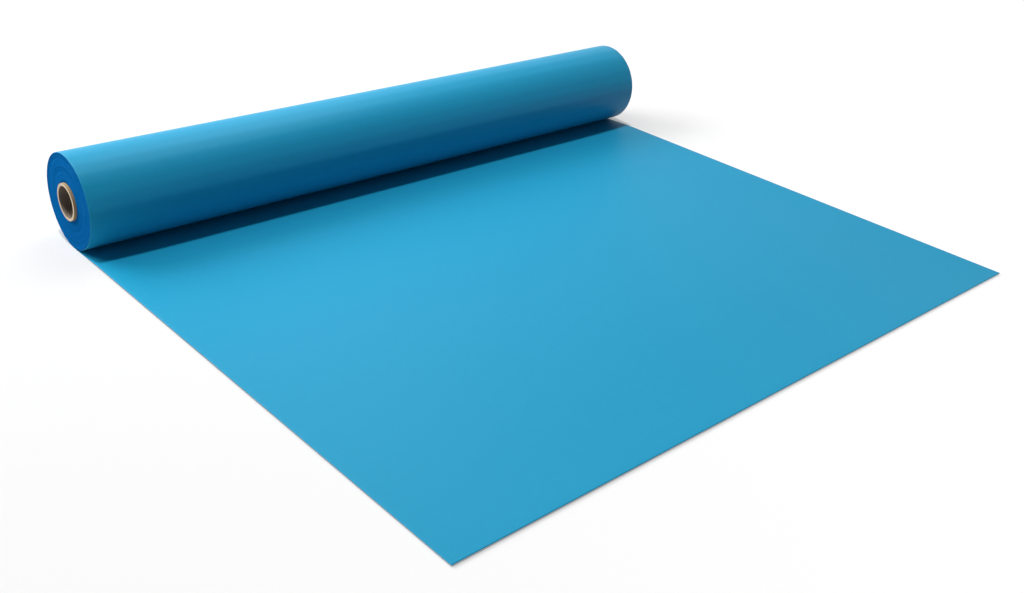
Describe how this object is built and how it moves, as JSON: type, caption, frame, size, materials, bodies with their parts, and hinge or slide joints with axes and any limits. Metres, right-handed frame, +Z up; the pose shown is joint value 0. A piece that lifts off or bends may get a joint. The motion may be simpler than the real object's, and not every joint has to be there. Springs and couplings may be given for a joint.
{
  "type": "backdrop paper roll",
  "caption": "Wide roll of seamless backdrop paper on an open paperboard core, with its free end laid flat on the floor in front of it.",
  "frame": {"origin": "on the floor, at the middle of the footprint of the roll and its laid-out sheet", "axes": "+X along the roll, +Z up, the free sheet runs towards -Y and the roll stands at the +Y side"},
  "size_m": [1.36, 1.1466, 0.177],
  "materials": {
    "backdrop_paper": "dyed through in one blue, smooth, slight satin sheen",
    "double_sided_tape": "tissue tape with adhesive on both faces",
    "core_liner_board": "smooth brown liner",
    "core_body_board": "sawn ends of grey-tan board",
    "core_wrap_board": "matte kraft wrap"
  },
  "bodies": {
    "laid_sheet": {"free_sheet": "backdrop_paper"},
    "lead_off": {"lead_off_web": "backdrop_paper"},
    "roll": {"wound_paper": "backdrop_paper", "start_tape_left": "double_sided_tape", "start_tape_middle": "double_sided_tape", "start_tape_right": "double_sided_tape", "core_liner_ply": "core_liner_board", "core_body_ply_1": "core_body_board", "core_body_ply_2": "core_body_board", "core_body_ply_3": "core_body_board", "core_body_ply_4": "core_body_board", "core_body_ply_5": "core_body_board", "core_body_ply_6": "core_body_board", "core_body_ply_7": "core_body_board", "core_body_ply_8": "core_body_board", "core_wrap_ply": "core_wrap_board"}
  },
  "joints": [
    {"name": "roll_travel", "type": "slide", "parent": "laid_sheet", "child": "lead_off", "axis": [0, 1, 0], "range_m": [-0.555, 0.555]},
    {"name": "roll_spin", "type": "hinge", "parent": "lead_off", "child": "roll", "pos_m": [0, 0.48474, 0.08904], "axis": [-1, 0, 0], "range_deg": [-360, 360]}
  ],
  "couplings": [
    {"joint": "roll_spin", "follows": "roll_travel", "rad_per_m": 11.311}
  ]
}
